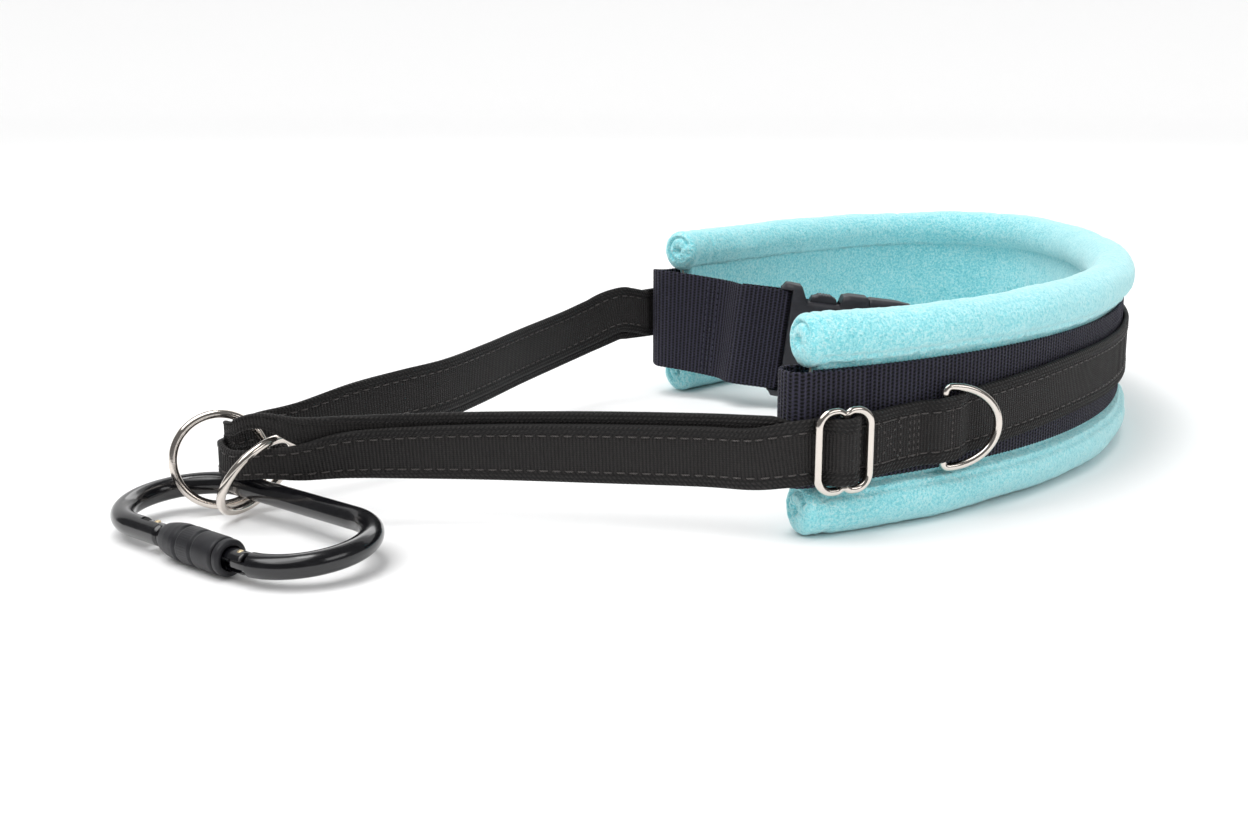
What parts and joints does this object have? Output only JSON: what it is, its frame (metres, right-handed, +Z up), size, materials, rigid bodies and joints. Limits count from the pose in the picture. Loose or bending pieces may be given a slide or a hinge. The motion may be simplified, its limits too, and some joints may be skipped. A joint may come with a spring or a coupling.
{
  "type": "padded gait belt with tether",
  "caption": "Fleece-padded gait belt with side-release buckle, D-rings and a front strap loop that holds O-rings and a screw-gate carabiner.",
  "frame": {"origin": "on the floor, at the middle of the footprint (the bounding box) of the belt as it lies", "axes": "+Z up, away from the floor the belt stands on; +X from the tether and carabiner towards the closed back of the belt; +Y from the near end of the pad towards the far end"},
  "size_m": [0.4132, 0.3994, 0.0781],
  "materials": {
    "fleece": "brushed fleece pile",
    "foam": "soft open-cell foam",
    "navy_webbing": "plain-weave nylon webbing",
    "black_webbing": "ribbed polyester webbing",
    "acetal": "moulded, fine grain",
    "nickel_wire": "bright nickel plate",
    "black_anodised": "gloss black anodised",
    "satin_sleeve": "satin black anodised",
    "pin_metal": "peened rivet",
    "spring_steel": "bright drawn wire"
  },
  "bodies": {
    "belt": {"fleece_sleeve": "fleece", "lower_foam_roll": "foam", "upper_foam_roll": "foam", "foam_back_panel": "foam", "near_lower_end_cap": "fleece", "near_upper_end_cap": "fleece", "far_lower_end_cap": "fleece", "far_upper_end_cap": "fleece", "navy_belt_webbing": "navy_webbing", "side_strap": "black_webbing", "far_closing_strap": "navy_webbing", "near_closing_strap": "navy_webbing", "near_slide": "nickel_wire", "far_slide": "nickel_wire", "buckle_female_housing": "acetal"},
    "tether": {"tether_outer_strap": "black_webbing", "tether_inner_strap": "black_webbing"},
    "near_d_ring": {"near_d_ring": "nickel_wire"},
    "far_d_ring": {"far_d_ring": "nickel_wire"},
    "left_ring": {"left_o_ring": "nickel_wire"},
    "right_ring": {"right_o_ring": "nickel_wire"},
    "carabiner": {"carabiner_body": "black_anodised", "gate_hinge_pin": "pin_metal"},
    "gate": {"gate": "black_anodised", "gate_latch_pin": "pin_metal", "gate_spring": "spring_steel"},
    "plunger": {"spring_plunger": "spring_steel"},
    "sleeve_carrier": {"sleeve_retaining_ring": "satin_sleeve"},
    "lock_sleeve": {"lock_sleeve": "satin_sleeve"},
    "buckle_male": {"buckle_male": "acetal"},
    "upper_arm": {"buckle_upper_arm": "acetal"},
    "lower_arm": {"buckle_lower_arm": "acetal"}
  },
  "joints": [
    {"name": "tether_lift", "type": "hinge", "parent": "belt", "child": "tether", "pos_m": [0.01554, -0.14697, 0.029], "axis": [-0.2028, 0.9784, 0.041], "range_deg": [-25, 30]},
    {"name": "near_d_ring_flip", "type": "hinge", "parent": "belt", "child": "near_d_ring", "pos_m": [0.08648, -0.12093, 0.03386], "axis": [0, 0, -1], "range_deg": [0, 140]},
    {"name": "far_d_ring_flip", "type": "hinge", "parent": "belt", "child": "far_d_ring", "pos_m": [0.03378, 0.14001, 0.039], "axis": [0, 0, 1], "range_deg": [0, 140]},
    {"name": "left_ring_turn", "type": "hinge", "parent": "tether", "child": "left_ring", "pos_m": [-0.17326, -0.11207, 0.0198], "axis": [-0.3299, 0.9358, -0.124], "continuous": true},
    {"name": "right_ring_turn", "type": "hinge", "parent": "tether", "child": "right_ring", "pos_m": [-0.15766, -0.12277, 0.0169], "axis": [-0.7388, 0.4049, 0.5388], "continuous": true},
    {"name": "carabiner_swing", "type": "hinge", "parent": "tether", "child": "carabiner", "pos_m": [-0.14112, -0.13511, 0.01064], "axis": [-0.7581, 0.6521, 0], "range_deg": [0, 20]},
    {"name": "gate_open", "type": "hinge", "parent": "carabiner", "child": "gate", "pos_m": [-0.14825, -0.18941, 0.00656], "axis": [0.058, 0.0674, -0.996], "range_deg": [0, 26], "stiffness_Nm_per_rad": 0.02},
    {"name": "plunger_travel", "type": "slide", "parent": "gate", "child": "plunger", "axis": [-0.7581, 0.6521, 0], "range_m": [0, 0.0012], "deforming": ["gate_spring"]},
    {"name": "sleeve_travel", "type": "slide", "parent": "gate", "child": "sleeve_carrier", "axis": [-0.7581, 0.6521, 0], "range_m": [0, 0.0024]},
    {"name": "sleeve_spin", "type": "hinge", "parent": "sleeve_carrier", "child": "lock_sleeve", "pos_m": [-0.171, -0.16984, 0.00656], "axis": [0.7581, -0.6521, 0], "range_deg": [0, 576]},
    {"name": "buckle_male_play", "type": "slide", "parent": "belt", "child": "buckle_male", "axis": [0.9925, 0, -0.1219], "range_m": [0, 0.0006]},
    {"name": "upper_arm_squeeze", "type": "hinge", "parent": "buckle_male", "child": "upper_arm", "pos_m": [0.08138, 0.05922, 0.04525], "axis": [0, -1, 0], "range_deg": [0, 8], "stiffness_Nm_per_rad": 0.5},
    {"name": "lower_arm_squeeze", "type": "hinge", "parent": "buckle_male", "child": "lower_arm", "pos_m": [0.07724, 0.05922, 0.01151], "axis": [0, 1, 0], "range_deg": [0, 8], "stiffness_Nm_per_rad": 0.5}
  ],
  "couplings": [
    {"joint": "plunger_travel", "follows": "gate_open", "m_per_rad": 0.0026443},
    {"joint": "sleeve_spin", "follows": "sleeve_travel", "rad_per_m": 4188.8}
  ]
}
